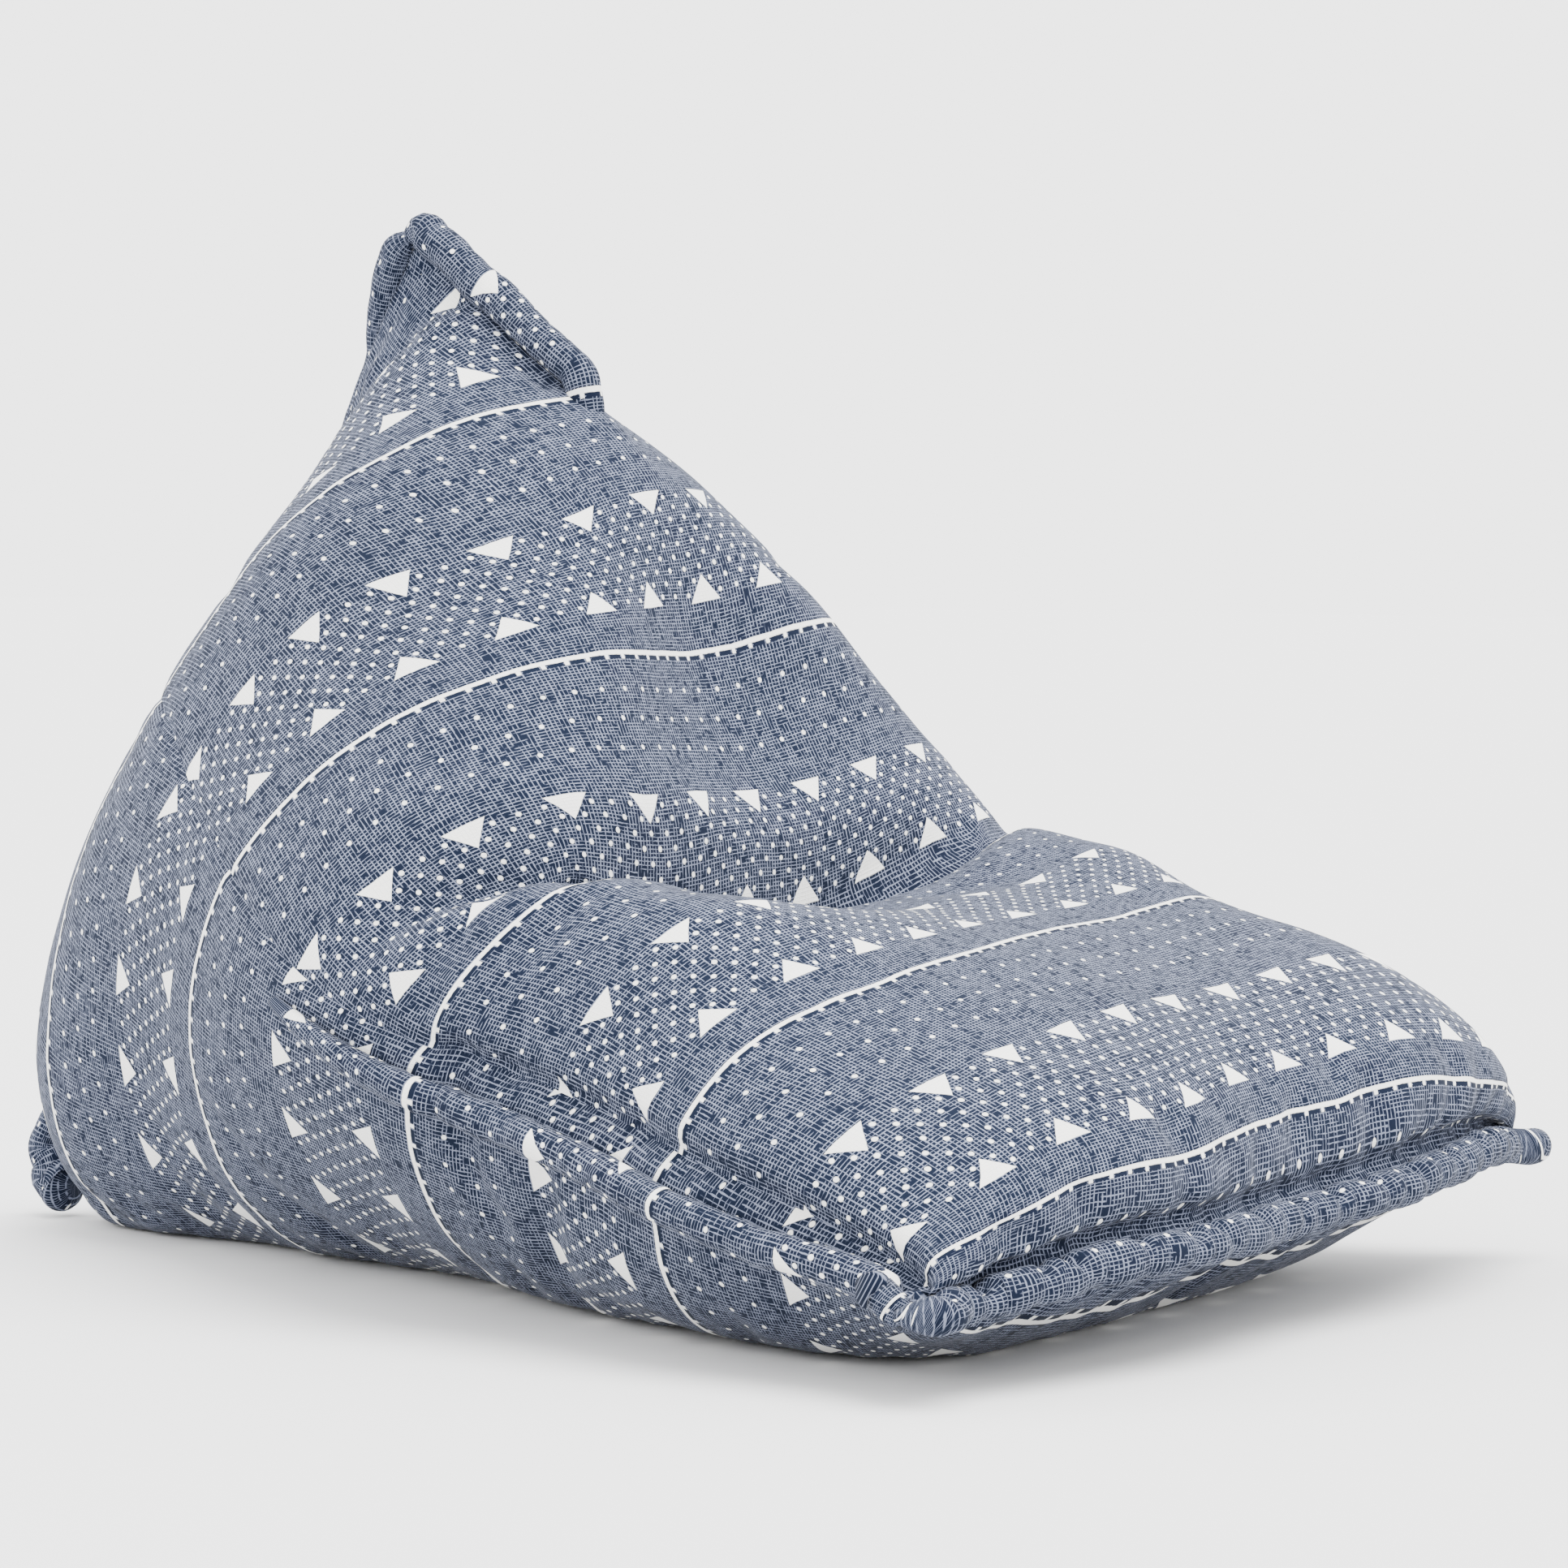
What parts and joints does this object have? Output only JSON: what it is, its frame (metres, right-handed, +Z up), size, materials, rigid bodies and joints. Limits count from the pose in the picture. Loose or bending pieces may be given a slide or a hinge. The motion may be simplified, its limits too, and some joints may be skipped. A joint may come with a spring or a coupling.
{
  "type": "lounger pouf",
  "caption": "Filled cloth lounger pouf with a broad low seat, a peaked backrest and padded rolled seam edges.",
  "frame": {"origin": "middle of the bounding box's bottom face, on the floor", "axes": "+Z up, -Y towards the front seam of the seat, +Y towards the backrest, x = 0 the plane of symmetry"},
  "size_m": [0.8716, 1.1423, 0.7553],
  "materials": {
    "cover_cloth": "matt printed slub weave, indigo and off-white",
    "edge_cloth": "the same cloth sewn into padded rolls"
  },
  "bodies": {
    "root": {"bag_body": "cover_cloth", "front_rolled_edge": "edge_cloth", "left_rolled_edge": "edge_cloth", "right_rolled_edge": "edge_cloth", "top_rolled_edge": "edge_cloth", "back_rolled_edge": "edge_cloth"}
  },
  "joints": []
}
